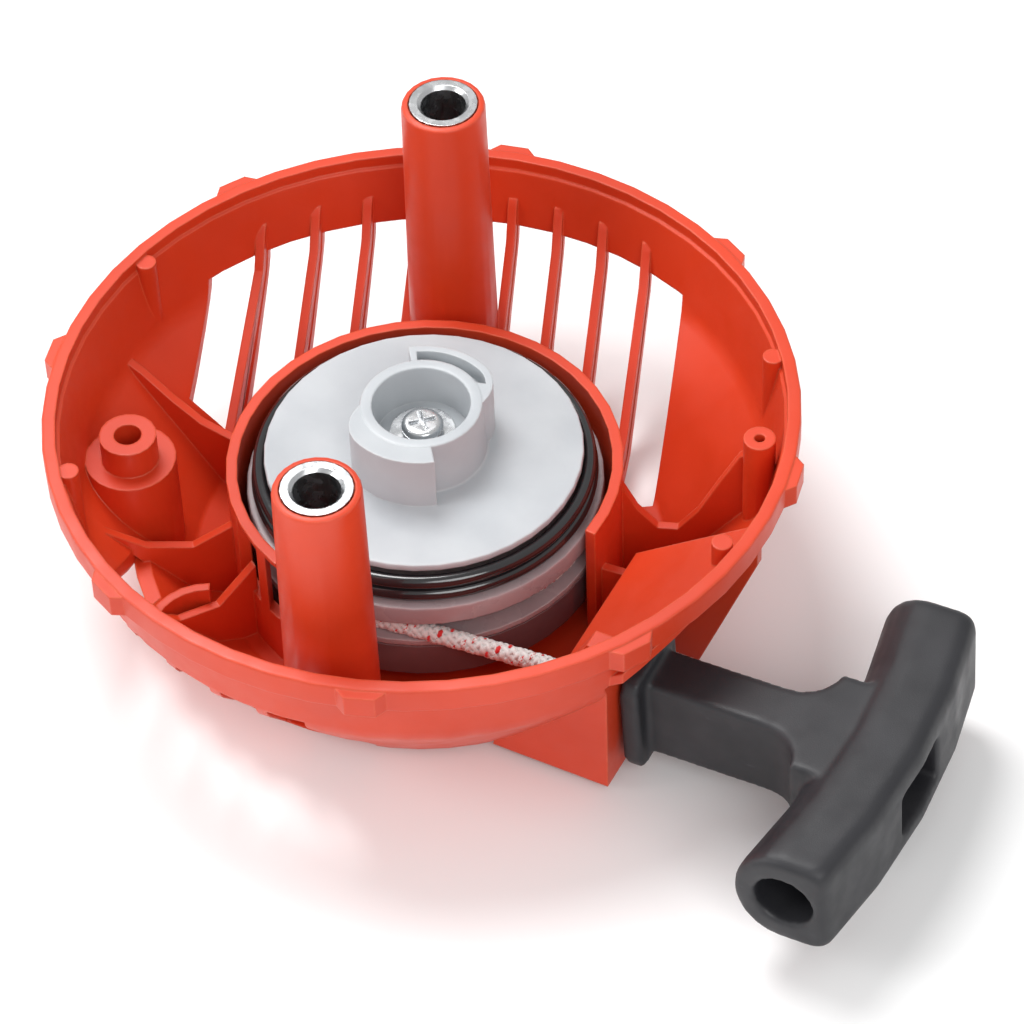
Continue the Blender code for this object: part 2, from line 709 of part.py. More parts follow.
def build_bush(name, y, finish):
    """A flanged steel sleeve pressed into a post's tip."""
    tip = at(-POST_RISE)
    low = tip - BUSH_LENGTH
    tube = BUSH_BORE_RADIUS + BUSH_WALL
    lift = BUSH_LIFT
    outline = [
        (BUSH_BORE_RADIUS, low),
        (tube, low),
        (tube, tip - BUSH_FLANGE),
        (BUSH_FLANGE_RADIUS, tip - BUSH_FLANGE),
        (BUSH_FLANGE_RADIUS, tip + lift),
        (BUSH_BORE_RADIUS + BUSH_CHAMFER, tip + lift),
        (BUSH_BORE_RADIUS, tip + lift - BUSH_CHAMFER),
    ]
    shape = turned(outline, POST_STEPS)
    return to_object(name, moved(shape, Matrix.Translation((POST_X, y, 0))), finish)


def build_rope_guide(finish):
    """The eyelet that the rope runs through."""
    outline = [
        (GUIDE_BORE_RADIUS + 0.0008, 0, 0),
        (GUIDE_BORE_RADIUS, 0.0010, 0.0004),
        (GUIDE_BORE_RADIUS, GUIDE_LENGTH, 0),
        (GUIDE_TUBE_RADIUS, GUIDE_LENGTH, 0),
        (GUIDE_TUBE_RADIUS, GUIDE_FLANGE, 0),
        (GUIDE_FLANGE_RADIUS, GUIDE_FLANGE, 0),
        (GUIDE_FLANGE_RADIUS, 0, 0),
    ]
    shape = turned(rounded(outline), SMALL)
    place = Matrix.Translation((EXIT_FACE + GAP, 0, at(PULL_DEPTH))) @ Matrix.Rotation(-math.pi / 2, 4, "Y")
    return to_object("rope_guide", along_rope(moved(shape, place)), finish)


def ring_solid(inner, outer, low, high, steps=ROUND):
    return turned([(inner, low), (outer, low), (outer, high), (inner, high)], steps)


def build_spindle_group(steel, brass, nylon):
    sleeve_low = at(ANCHOR_DEPTH) + GAP
    sleeve_top = at(CAM_HUB_FLOOR_DEPTH)
    to_object("spindle_sleeve", ring_solid(SLEEVE_INNER, SLEEVE_OUTER, sleeve_low, sleeve_top, SMALL + 8), steel)
    insert_top = at(CAM_HUB_FLOOR_DEPTH + GAP)
    insert = ring_solid(SCREW_RADIUS + GAP, INSERT_RADIUS, insert_top - INSERT_LENGTH, insert_top, SMALL)
    to_object("threaded_insert", insert, brass)
    thrust_low = at(ANCHOR_DEPTH) + GAP
    thrust = ring_solid(SLEEVE_OUTER + GAP, ANCHOR_RADIUS, thrust_low, thrust_low + THRUST_WASHER_THICKNESS)
    to_object("thrust_washer", thrust, nylon)
    washer_low = sleeve_top + GAP
    washer_top = washer_low + WASHER_THICKNESS
    washer = ring_solid(SCREW_RADIUS + GAP, WASHER_RADIUS, washer_low, washer_top, SMALL + 8)
    to_object("retaining_washer", washer, steel)

    head_low = washer_top + GAP
    head_top = head_low + SCREW_HEAD_HEIGHT
    outline = [(0, head_low - SCREW_LENGTH), (SCREW_RADIUS, head_low - SCREW_LENGTH), (SCREW_RADIUS, head_low)]
    outline.append((SCREW_HEAD_RADIUS, head_low))
    outline.append((SCREW_HEAD_RADIUS, head_low + SCREW_HEAD_HEIGHT * 0.4))
    for angle in (25, 45, 65):
        across = SCREW_HEAD_RADIUS * math.cos(math.radians(angle))
        rise = SCREW_HEAD_HEIGHT * (0.4 + 0.6 * math.sin(math.radians(angle)))
        outline.append((across, head_low + rise))
    outline.append((0, head_top))
    screw = to_object("centre_screw", turned(outline, SMALL), steel)
    for turn in (20, 110):
        half = RECESS_LENGTH / 2
        recess = box((-half, -RECESS_WIDTH / 2, head_top - RECESS_DEPTH), (half, RECESS_WIDTH / 2, head_top + 0.001))
        cut(screw, moved(recess, Matrix.Rotation(math.radians(turn), 4, "Z")))


# Pieces that turn with the reel


def reel_knot_place():
    angle = math.radians(REEL_KNOT_ANGLE)
    return (REEL_CORE_RADIUS * math.cos(angle), REEL_CORE_RADIUS * math.sin(angle))


def build_reel(finish):
    """Upper flange with a tray for the assist spring, rope groove, lower flange and hub."""
    top = at(REEL_TOP_DEPTH)
    hub_top = at(CAM_DEPTH + CAM_THICKNESS) - GAP
    tray = top - REEL_TRAY_DEPTH
    edge = 0.0007
    outline = [
        (RUNNING_BORE, at(REEL_BOTTOM_DEPTH), 0),
        (REEL_RADIUS, at(REEL_BOTTOM_DEPTH), 0),
        (REEL_RADIUS, at(GROOVE_BOTTOM_DEPTH), 0),
        (REEL_CORE_RADIUS, at(GROOVE_BOTTOM_DEPTH), 0),
        (REEL_CORE_RADIUS, at(GROOVE_TOP_DEPTH), 0),
        (REEL_RADIUS, at(GROOVE_TOP_DEPTH), edge),
        (REEL_RADIUS, top, edge),
        (REEL_TRAY_RADIUS - 0.0015, top, 0),
        (REEL_TRAY_RADIUS - 0.0025, tray, 0),
        (REEL_HUB_RADIUS, tray, 0),
        (REEL_HUB_RADIUS, hub_top, 0),
        (RUNNING_BORE, hub_top, 0),
    ]
    reel = to_object("rope_reel", turned(rounded(outline)), finish)
    pocket = cylinder(KNOT_RADIUS + 0.001, at(GROOVE_BOTTOM_DEPTH) + 0.0002, top + OVERSHOOT, reel_knot_place())
    cut(reel, pocket)
    return reel


def build_spring_case(finish, cover_finish):
    top = at(REEL_BOTTOM_DEPTH) - GAP
    inside = REEL_RADIUS - CASE_WALL
    outline = [
        (CASE_HOLE_RADIUS, top),
        (CASE_HOLE_RADIUS, top - CASE_PLATE),
        (inside, top - CASE_PLATE),
        (inside, at(CASE_DEPTH)),
        (REEL_RADIUS - 0.0004, at(CASE_DEPTH)),
        (REEL_RADIUS, at(CASE_DEPTH) + 0.0004),
        (REEL_RADIUS, top),
    ]
    to_object("spring_case", turned(outline), finish)
    low = at(CASE_DEPTH) + GAP
    cover = ring_solid(CASE_HOLE_RADIUS, inside - GAP, low, low + CASE_COVER)
    to_object("spring_case_cover", cover, cover_finish)


def strip_along(points, thickness, low, high):
    """An upright strip that follows a flat path."""
    sides = ([], [])
    for i, here in enumerate(points):
        ahead = Vector(points[min(i + 1, len(points) - 1)]) - Vector(points[max(i - 1, 0)])
        across = Vector((-ahead.y, ahead.x)).normalized() * thickness / 2
        sides[0].append(tuple(Vector(here) + across))
        sides[1].append(tuple(Vector(here) - across))
    shape = bmesh.new()
    rows = [[shape.verts.new((*p, z)) for p in side] for side in sides for z in (low, high)]
    for a, b in ((0, 1), (1, 3), (3, 2), (2, 0)):
        for i in range(len(points) - 1):
            shape.faces.new((rows[a][i], rows[a][i + 1], rows[b][i + 1], rows[b][i]))
    for i in (0, len(points) - 1):
        shape.faces.new((rows[0][i], rows[1][i], rows[3][i], rows[2][i]))
    return shape


def build_recoil_spring(finish):
    """A flat spiral whose inner end hooks the anchor boss and whose outer end lies on the case's wall."""
    low = at(CASE_DEPTH) + GAP + CASE_COVER + RUNNING_GAP
    high = at(REEL_BOTTOM_DEPTH) - GAP - CASE_PLATE - RUNNING_GAP
    inner = CASE_HOLE_RADIUS + SPRING_STRIP
    outer = REEL_RADIUS - CASE_WALL - SPRING_STRIP
    steps = SPRING_TURNS * SPRING_STEPS
    points = []
    for i in range(steps + 1):
        share = i / steps
        radius = inner + (outer - inner) * share
        turn = math.tau * SPRING_TURNS * share
        points.append((radius * math.cos(turn), radius * math.sin(turn)))
    to_object("recoil_spring", strip_along(points, SPRING_STRIP, low, high), finish)


def tube_along(points, radius, sides):
    """A round tube with flat ends that follows a path."""
    shape = bmesh.new()
    rows = []
    for i, here in enumerate(points):
        ahead = Vector(points[min(i + 1, len(points) - 1)]) - Vector(points[max(i - 1, 0)])
        turn = ahead.to_track_quat("Z", "Y").to_matrix()
        ring = []
        for k in range(sides):
            angle = math.tau * k / sides
            offset = turn @ Vector((radius * math.cos(angle), radius * math.sin(angle), 0))
            ring.append(shape.verts.new(Vector(here) + offset))
        rows.append(ring)
    for first, second in zip(rows, rows[1:]):
        for k in range(sides):
            shape.faces.new((first[k - 1], first[k], second[k], second[k - 1]))
    shape.faces.new(rows[0])
    shape.faces.new(rows[-1])
    return shape


def build_assist_spring(finish):
    """Two turns of round black wire between the reel's tray and the drive cam, its ends turned inwards."""
    top = at(CAM_DEPTH + CAM_THICKNESS) - GAP - ASSIST_WIRE_RADIUS
    bottom = at(REEL_TOP_DEPTH) + GAP + ASSIST_WIRE_RADIUS
    steps = ASSIST_TURNS * 30
    ease = 0.12
    points = []
    for i in range(steps + 1):
        share = i / steps
        slope = min(max((share - 0.5) / ease + 0.5, 0), 1)
        radius = ASSIST_BOTTOM_RADIUS + (ASSIST_TOP_RADIUS - ASSIST_BOTTOM_RADIUS) * slope
        turn = math.tau * ASSIST_TURNS * share * 0.985
        points.append((radius * math.cos(turn), radius * math.sin(turn), bottom + (top - bottom) * slope))
    to_object("assist_spring", tube_along(points, ASSIST_WIRE_RADIUS, 8), finish)


def build_rope_coil(finish):
    """The rope wound in the groove, as one ring, open where the outer turn leaves it."""
    low = at(GROOVE_BOTTOM_DEPTH) + GAP
    high = at(GROOVE_TOP_DEPTH) - GAP
    outer = WRAP_RADIUS + ROPE_RADIUS
    bulge = 0.0008
    outline = [
        (REEL_CORE_RADIUS + GAP, low),
        (outer - bulge, low),
        (outer, low + bulge),
        (outer, high - bulge),
        (outer - bulge, high),
        (REEL_CORE_RADIUS + GAP, high),
    ]
    coil = to_object("rope_coil", turned(outline), finish)
    side = WRAP_RADIUS - ROPE_RADIUS - GAP
    room = box((0, -REEL_RADIUS - OVERSHOOT, low - OVERSHOOT), (REEL_RADIUS, -side, high + OVERSHOOT))
    cut(coil, moved(room, Matrix.Rotation(rope_leaving(), 4, "Z")))
    knot_low = at(GROOVE_BOTTOM_DEPTH) + GAP
    cut(coil, cylinder(KNOT_RADIUS + 0.001, knot_low - OVERSHOOT, high + OVERSHOOT, reel_knot_place()))


def knot(radius, centre):
    """A tied lump: a ball that is a little longer than wide, with flattened facets."""
    shape = bmesh.new()
    bmesh.ops.create_icosphere(shape, subdivisions=2, radius=radius)
    for vert in shape.verts:
        ripple = 1 + 0.08 * math.sin(5 * math.atan2(vert.co.y, vert.co.z) + 900 * vert.co.x)
        vert.co = Vector((vert.co.x * 0.9, vert.co.y * ripple, vert.co.z * ripple)) + Vector(centre)
    return shape


def build_reel_knot(finish):
    radius = KNOT_RADIUS * 0.92
    place = (*reel_knot_place(), at(ROPE_DEPTH) + 0.0022)
    to_object("reel_knot", knot(radius, place), finish)


def cam_lug_radius(angle):
    """How far a cam lug reaches at an angle measured from where it leaves the hub."""
    share = min((angle - CAM_LUG_START) / 38, 1)
    ease = math.sin(share * math.pi / 2)
    return CAM_HUB_RADIUS + (CAM_LUG_REACH - CAM_HUB_RADIUS) * ease


def cam_lug_outline(inset):
    steps = 14
    start = CAM_LUG_START + (0 if inset == 0 else 22)
    end = CAM_LUG_END - math.degrees(inset / CAM_LUG_REACH)
    outer = []
    for k in range(steps + 1):
        angle = start + (end - start) * k / steps
        radius = cam_lug_radius(angle) - inset
        outer.append((radius * math.cos(math.radians(angle)), radius * math.sin(math.radians(angle))))
    inner_radius = CAM_HUB_RADIUS if inset else CAM_HUB_BORE_RADIUS + 0.001
    inner = arc(inner_radius, end, start, steps)
    if inset:
        inner = inner[:-1]
    return outer + inner


def build_drive_cam(finish):
    """The disc that the engine's pawls catch: two lugs on a raised hub, one of them hollow."""
    disc_top = at(CAM_DEPTH)
    edge = 0.0005
    outline = [
        (RUNNING_BORE, disc_top - CAM_THICKNESS, 0),
        (CAM_RADIUS, disc_top - CAM_THICKNESS, edge),
        (CAM_RADIUS, disc_top, edge),
        (CAM_HUB_RADIUS + 0.0004, disc_top, 0.0008),
        (CAM_HUB_RADIUS, at(0), edge),
        (CAM_HUB_BORE_RADIUS, at(0), edge),
        (CAM_HUB_BORE_RADIUS - 0.0004, at(CAM_HUB_FLOOR_DEPTH), 0),
        (RUNNING_BORE, at(CAM_HUB_FLOOR_DEPTH), 0),
    ]
    cam = to_object("drive_cam", turned(rounded(outline)), finish)
    for turn in (0, 180):
        lug_solid = extruded(cam_lug_outline(0), disc_top - CAM_THICKNESS / 2, at(0) - 0.0002)
        join(cam, moved(lug_solid, Matrix.Rotation(math.radians(turn), 4, "Z")))
    cut(cam, extruded(cam_lug_outline(CAM_LUG_WALL), at(CAM_POCKET_DEPTH), at(-OVERSHOOT)))
    return cam


# Rope run and pull handle


def build_rope_run(finish):
    """The rope from the reel to the bend, and on through the guide and the handle's neck."""
    end = rope_frame() @ Vector((GRIP_CROWN - KNOT_POCKET_DEPTH - GAP, 0, at(PULL_DEPTH)))
    bend = rope_bend()
    leaving = Matrix.Rotation(rope_leaving(), 3, "Z")
    start = leaving @ Vector((GAP, -WRAP_RADIUS, at(ROPE_DEPTH)))
    clear = leaving @ Vector((REEL_RADIUS / 2, -WRAP_RADIUS, at(ROPE_DEPTH)))
    inward = (clear - bend).normalized() * ROPE_RADIUS
    outward = (end - bend).normalized() * ROPE_RADIUS
    turn = [bend + inward, bend + (inward + outward) / 4, bend + outward]
    points = [start, start.lerp(clear, 0.5), clear]
    points += [clear.lerp(turn[0], i / 4) for i in range(1, 4)] + turn
    points += [turn[-1].lerp(end, i / 6) for i in range(1, 7)]
    to_object("rope_run", tube_along(points, ROPE_RADIUS, ROPE_SIDES), finish)


def grip_section():
    """The grip's section across its length: flat outside, round towards the hand."""
    half = GRIP_HEIGHT / 2
    inner = GRIP_OUTER - GRIP_DEPTH
    shoulder = inner + half * 0.85
    outline = [
        (shoulder, -half, 0),
        (GRIP_OUTER, -half, GRIP_ROUNDING),
        (GRIP_OUTER, half, GRIP_ROUNDING),
        (shoulder, half, 0),
    ]
    points = rounded(outline)
    for k in range(1, 10):
        angle = math.pi / 2 + math.pi * k / 10
        points.append((shoulder + (shoulder - inner) * math.cos(angle), half * math.sin(angle)))
    return points


def grip_solid():
    """The T's bar: its section repeated along its length, bowed outwards and drawn in at the ends."""
    section = grip_section()
    half = GRIP_LENGTH / 2
    centre = GRIP_OUTER - GRIP_DEPTH / 2
    shape = bmesh.new()
    rows = []
    stations = [(-1.0, 0.90), (-0.975, 0.97), (-0.94, 1.0), (-0.5, 1.0), (0.0, 1.0), (0.5, 1.0), (0.94, 1.0)]
    stations += [(0.975, 0.97), (1.0, 0.90)]
    z = at(PULL_DEPTH)
    for share, scale in stations:
        bow = GRIP_BOW * (1 - share * share)
        row = []
        for along, up in section:
            x = centre + (along - centre) * scale + bow
            row.append(shape.verts.new((x, share * half, z + up * scale)))
        rows.append(row)
    for first, second in zip(rows, rows[1:]):
        for k in range(len(section)):
            shape.faces.new((first[k - 1], first[k], second[k], second[k - 1]))
    shape.faces.new(rows[0])
    shape.faces.new(rows[-1])
    return shape


def neck_plan():
    """The neck seen from above: straight from the foot, then flared where it meets the grip."""
    half = NECK_WIDTH / 2
    start = SEAT + HANDLE_FLANGE / 2
    end = GRIP_OUTER - GRIP_DEPTH / 2
    meet = GRIP_OUTER - GRIP_DEPTH + 0.0015
    flare = arc(NECK_FILLET, 90, 4, 5, (meet - NECK_FILLET, -half - NECK_FILLET))
    points = [(start, -half), *flare, (end, flare[-1][1]), (end, -flare[-1][1])]
    points += [(x, -y) for x, y in reversed(flare)]
    points.append((start, half))
    return points


def build_handle(finish):
    """The T handle: foot flange, neck and grip in one moulding, bored for the rope."""
    z = at(PULL_DEPTH)
    handle = to_object("pull_handle", along_rope(grip_solid()), finish)
    neck = extruded(neck_plan(), z - NECK_HEIGHT / 2, z + NECK_HEIGHT / 2)
    join(handle, along_rope(neck))
    flange = extruded(
        rounded([
            (-HANDLE_FLANGE_HEIGHT / 2, -HANDLE_FLANGE_WIDTH / 2, 0.003),
            (HANDLE_FLANGE_HEIGHT / 2, -HANDLE_FLANGE_WIDTH / 2, 0.003),
            (HANDLE_FLANGE_HEIGHT / 2, HANDLE_FLANGE_WIDTH / 2, 0.003),
            (-HANDLE_FLANGE_HEIGHT / 2, HANDLE_FLANGE_WIDTH / 2, 0.003),
        ]),
        0,
        HANDLE_FLANGE,
    )
    place = Matrix.Translation((SEAT, 0, z)) @ Matrix.Rotation(math.pi / 2, 4, "Y")
    join(handle, along_rope(moved(flange, place)))

    bore = rod_along(ROPE_RADIUS + GAP, SEAT - OVERSHOOT, GRIP_OUTER, up=z, steps=16)
    cut(handle, along_rope(bore))
    pocket = box(
        (GRIP_CROWN - KNOT_POCKET_DEPTH, -KNOT_POCKET_WIDTH / 2, z - KNOT_POCKET_HEIGHT / 2),
        (GRIP_CROWN + OVERSHOOT, KNOT_POCKET_WIDTH / 2, z + KNOT_POCKET_HEIGHT / 2),
    )
    cut(handle, along_rope(pocket))
    centre = GRIP_OUTER - GRIP_DEPTH / 2 + 0.001
    for side in (-1, 1):
        end = side * (GRIP_LENGTH / 2 + OVERSHOOT)
        start = side * (GRIP_LENGTH / 2 - GRIP_END_BORE_LENGTH)
        hole = cylinder(GRIP_END_BORE_RADIUS, min(start, end), max(start, end))
        bmesh.ops.rotate(hole, verts=hole.verts, cent=(0, 0, 0), matrix=Matrix.Rotation(-math.pi / 2, 3, "X"))
        bmesh.ops.translate(hole, verts=hole.verts, vec=(centre, 0, z))
        cut(handle, along_rope(hole))
    return handle


def build_handle_knot(finish):
    start = GRIP_CROWN - KNOT_POCKET_DEPTH + GAP
    centre = rope_frame() @ Vector((start + KNOT_RADIUS * 0.9, 0, at(PULL_DEPTH)))
    to_object("handle_knot", knot(KNOT_RADIUS, centre), finish)


def build():
    clear_scene()
    orange = material("orange_nylon", ORANGE, 0.42)
    milk = material("milky_nylon", MILK, 0.35, transmission=0.2)
    smoke = material("smoky_nylon", SMOKE, 0.25, transmission=0.2)
    steel = material("zinc_plated_steel", STEEL, 0.25, 1.0)
    spring_steel = material("spring_steel", SPRING_STEEL, 0.35, 1.0)
    black = material("black_wire", BLACK, 0.22)
    charcoal = material("charcoal_nylon", CHARCOAL, 0.5)
    brass = material("brass", BRASS, 0.3, 1.0)
    white = material("white_braid", WHITE, 0.85)

    build_housing(orange)
    build_bush("front_post_bush", -POST_Y, steel)
    build_bush("rear_post_bush", POST_Y, steel)
    build_rope_guide(steel)
    build_spindle_group(steel, brass, milk)
    build_reel(milk)
    build_spring_case(smoke, steel)
    build_recoil_spring(spring_steel)
    build_assist_spring(black)
    build_drive_cam(milk)
    build_rope_coil(white)
    build_reel_knot(white)
    build_rope_run(white)
    build_handle(charcoal)
    build_handle_knot(white)


build()
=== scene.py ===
"""Recoil starter: the finished look of its pieces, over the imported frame. Lengths are in metres."""

import math

import bpy
from mathutils import Matrix, Vector


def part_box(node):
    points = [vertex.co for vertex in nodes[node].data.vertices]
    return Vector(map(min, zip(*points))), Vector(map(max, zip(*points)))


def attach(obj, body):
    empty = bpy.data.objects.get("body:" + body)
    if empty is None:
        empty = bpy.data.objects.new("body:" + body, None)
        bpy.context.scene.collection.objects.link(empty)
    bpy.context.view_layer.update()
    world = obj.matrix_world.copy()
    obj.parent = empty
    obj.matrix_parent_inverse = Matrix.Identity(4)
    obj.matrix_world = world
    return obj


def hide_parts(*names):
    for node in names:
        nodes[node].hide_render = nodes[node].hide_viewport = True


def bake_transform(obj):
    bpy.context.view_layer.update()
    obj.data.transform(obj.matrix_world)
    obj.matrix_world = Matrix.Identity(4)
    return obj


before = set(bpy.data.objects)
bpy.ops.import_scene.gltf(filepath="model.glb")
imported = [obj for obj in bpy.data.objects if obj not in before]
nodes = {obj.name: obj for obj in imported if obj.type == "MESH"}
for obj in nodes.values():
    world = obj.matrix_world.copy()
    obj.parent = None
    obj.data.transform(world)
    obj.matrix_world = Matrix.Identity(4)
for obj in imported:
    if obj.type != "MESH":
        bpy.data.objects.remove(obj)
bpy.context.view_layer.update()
scene = bpy.context.scene

UP = Vector((0, 0, 1))

# Merging a CAD solid's loose triangles
WELD_DISTANCE = 0.000004
SLIVER_LENGTH = 0.000002

# The rope's line: it leaves the reel, bends inside the guide and ends in the grip
ROPE_TURN = math.radians(-15)
PULL_AXIS = Vector((math.cos(ROPE_TURN), math.sin(ROPE_TURN), 0))
ROPE_RADIUS = 0.0020
ROPE_START = Vector((-0.0034, -0.0327, 0.02005))
ROPE_BEND = Vector((0.04295, -0.0379, 0.0170))
ROPE_END = Vector((0.0988, -0.0529, 0.0170))

# The rope on the reel: the outermost turn climbs by one layer at its start
LAST_TURN_ANGLE = math.radians(380)
LAST_TURN_STEPS = 76
CLIMBS_PER_LAST_TURN = 3.2
LAYER_STEP = 0.0041
LAYER_REACHES = (0.0247, 0.0206)
LAYER_POINTS = 100

# The braid's yarns: as many go round one way as the other, each a flat oval
YARNS_EACH_WAY = 6
TRACER_YARNS = (1, 4)
YARN_LAY = 0.0120
YARN_STEPS = 32
YARN_SIDES = 6
YARN_SHARE = 0.36
YARN_SINK = 0.80
YARN_WEAVE = 0.22
YARN_THICKNESS = 0.55
YARN_WIDTH = 1.30
TRACER_LIFT = -0.1

# The assist spring's wire: it crosses to the upper turn near the end of the lower one
WIRE_RADIUS = 0.00145
WIRE_REACH = 0.0334
WIRE_TUCK = 0.0004
WIRE_START = math.radians(100)
WIRE_STEPS = 96
CROSSING_START = 0.90
CROSSING_SPAN = 0.16

# The handle hangs from the guide at this lean, in degrees, and its edges are eased
HANDLE_LEAN = 2.6
HANDLE_VOXEL = 0.00055
HANDLE_ROUNDS = 12

# Camera, lights and floor
CAMERA_PLACE = (0.15906, -0.5849, 0.6696)
CAMERA_HEADING = 13.6
CAMERA_TILT = 42.8
CAMERA_ROLL = -2.2735
CAMERA_LENS = 154.69
LIGHTS_AIM = (0.02, -0.01, 0.03)
LIGHTS = (
    ("key light", (-0.30, 0.30, 0.95), 0.50, 7.0),
    ("front light", (0.45, -0.75, 0.75), 0.60, 4.6),
    ("left light", (-0.85, -0.35, 0.55), 0.45, 3.2),
)
WORLD_STRENGTH = 0.60
FLOOR_SIZE = 6
FLOOR_DEPTH = 0.0002

guide_low, guide_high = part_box("rope_guide")
guide_middle = (guide_low + guide_high) / 2


# Helpers for modelling

def deselect():
    for obj in bpy.context.selected_objects:
        obj.select_set(False)


def work_on(obj):
    deselect()
    obj.select_set(True)
    bpy.context.view_layer.objects.active = obj


def merged_copy(node, name, crease=32):
    """A welded copy of a CAD solid, its round walls shaded smooth."""
    obj = bpy.data.objects.new(name, nodes[node].data.copy())
    scene.collection.objects.link(obj)
    work_on(obj)
    if obj.data.has_custom_normals:
        bpy.ops.mesh.customdata_custom_splitnormals_clear()
    bpy.ops.object.mode_set(mode="EDIT")
    bpy.ops.mesh.select_all(action="SELECT")
    bpy.ops.mesh.remove_doubles(threshold=WELD_DISTANCE)
    bpy.ops.mesh.dissolve_degenerate(threshold=SLIVER_LENGTH)
    bpy.ops.object.mode_set(mode="OBJECT")
    bpy.ops.object.shade_smooth_by_angle(angle=math.radians(crease))
    weighted = obj.modifiers.new("even shading", "WEIGHTED_NORMAL")
    weighted.keep_sharp = True
    bpy.ops.object.modifier_apply(modifier=weighted.name)
    return obj


def finish_piece(obj, material, body, node):
    """Gives a piece its material and its body, in place of the CAD node."""
    obj.data.materials.clear()
    obj.data.materials.append(material)
    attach(obj, body)
    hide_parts(node)


# Shared surface effects

def new_group(name, inputs, outputs):
    group = bpy.data.node_groups.new(name, "ShaderNodeTree")
    for label, kind, value in inputs:
        socket = group.interface.new_socket(name=label, in_out="INPUT", socket_type=kind)
        socket.default_value = value
    for label, kind in outputs:
        group.interface.new_socket(name=label, in_out="OUTPUT", socket_type=kind)
    given = group.nodes.new("NodeGroupInput").outputs
    out = group.nodes.new("NodeGroupOutput").inputs
    return group, given, out


def feed(tree, socket, given):
    """Gives a socket a fixed value or another node's output."""
    if isinstance(given, bpy.types.NodeSocket):
        tree.links.new(given, socket)
    else:
        socket.default_value = given


def object_place(tree):
    return tree.nodes.new("ShaderNodeTexCoord").outputs["Object"]


def noise(tree, place, scale, detail=2):
    node = tree.nodes.new("ShaderNodeTexNoise")
    node.inputs["Detail"].default_value = detail
    feed(tree, node.inputs["Scale"], scale)
    tree.links.new(place, node.inputs["Vector"])
    return node


def colour_mix(tree, share, first, second):
    node = tree.nodes.new("ShaderNodeMix")
    node.data_type = "RGBA"
    feed(tree, node.inputs["Factor"], share)
    feed(tree, node.inputs["A"], first)
    feed(tree, node.inputs["B"], second)
    return node.outputs["Result"]


def product(tree, first, second, clamp=False):
    node = tree.nodes.new("ShaderNodeMath")
    node.operation = "MULTIPLY"
    node.use_clamp = clamp
    feed(tree, node.inputs[0], first)
    feed(tree, node.inputs[1], second)
    return node.outputs["Value"]


def spread(tree, value, low, high, to_low=0.0, to_high=1.0):
    """Maps the range from low to high onto the range from to_low to to_high."""
    node = tree.nodes.new("ShaderNodeMapRange")
    node.inputs["From Min"].default_value = low
    node.inputs["From Max"].default_value = high
    node.inputs["To Min"].default_value = to_low
    node.inputs["To Max"].default_value = to_high
    tree.links.new(value, node.inputs["Value"])
    return node.outputs["Result"]


def grain_bump(tree, height, strength, distance):
    node = tree.nodes.new("ShaderNodeBump")
    node.inputs["Strength"].default_value = strength
    feed(tree, node.inputs["Distance"], distance)
    tree.links.new(height, node.inputs["Height"])
    return node


def moulded_skin_group():
    """Fine grain over softened edges, with a mask of those edges."""
    group, given, out = new_group(
        "moulded skin",
        (
            ("Grain Scale", "NodeSocketFloat", 2600.0),
            ("Grain Depth", "NodeSocketFloat", 0.00002),
            ("Edge Radius", "NodeSocketFloat", 0.0004),
        ),
        (("Normal", "NodeSocketVector"), ("Edge", "NodeSocketFloat")),
    )
    link = group.links.new
    grain = noise(group, object_place(group), given["Grain Scale"], detail=3)
    soft = group.nodes.new("ShaderNodeBevel")
    soft.samples = 6
    link(given["Edge Radius"], soft.inputs["Radius"])
    bump = grain_bump(group, grain.outputs["Fac"], 0.6, given["Grain Depth"])
    link(soft.outputs["Normal"], bump.inputs["Normal"])
    link(bump.outputs["Normal"], out["Normal"])
    # The edge mask below lightens the colour on edges: partly wear, partly painted highlight.
    plain = group.nodes.new("ShaderNodeNewGeometry")
    lean = group.nodes.new("ShaderNodeVectorMath")
    lean.operation = "DOT_PRODUCT"
    link(soft.outputs["Normal"], lean.inputs[0])
    link(plain.outputs["Normal"], lean.inputs[1])
    link(spread(group, lean.outputs["Value"], 0.995, 0.85), out["Edge"])
    return group


def tone_group():
    """Broad drift between two tones, with pale edges that are partly wear and partly painted
    highlight.
    """
    group, given, out = new_group(
        "tone and edge wear with painted highlight",
        (
            ("Tone", "NodeSocketColor", (0.5, 0.5, 0.5, 1)),
            ("Second Tone", "NodeSocketColor", (0.5, 0.5, 0.5, 1)),
            ("Rub Tone", "NodeSocketColor", (0.8, 0.8, 0.8, 1)),
            ("Drift Scale", "NodeSocketFloat", 30.0),
            ("Edge", "NodeSocketFloat", 0.0),
            ("Rub", "NodeSocketFloat", 0.5),
        ),
        (("Color", "NodeSocketColor"),),
    )
    place = object_place(group)
    drift = noise(group, place, given["Drift Scale"], detail=5)
    share = spread(group, drift.outputs["Fac"], 0.35, 0.68)
    tones = colour_mix(group, share, given["Tone"], given["Second Tone"])
    # Pale patches on the edges: partly wear, partly painted highlight.
    patch = noise(group, place, 420, detail=4)
    edge_wear_and_highlight = product(group, given["Edge"], patch.outputs["Fac"])
    amount = product(group, edge_wear_and_highlight, given["Rub"], clamp=True)
    group.links.new(colour_mix(group, amount, tones, given["Rub Tone"]), out["Color"])
    return group


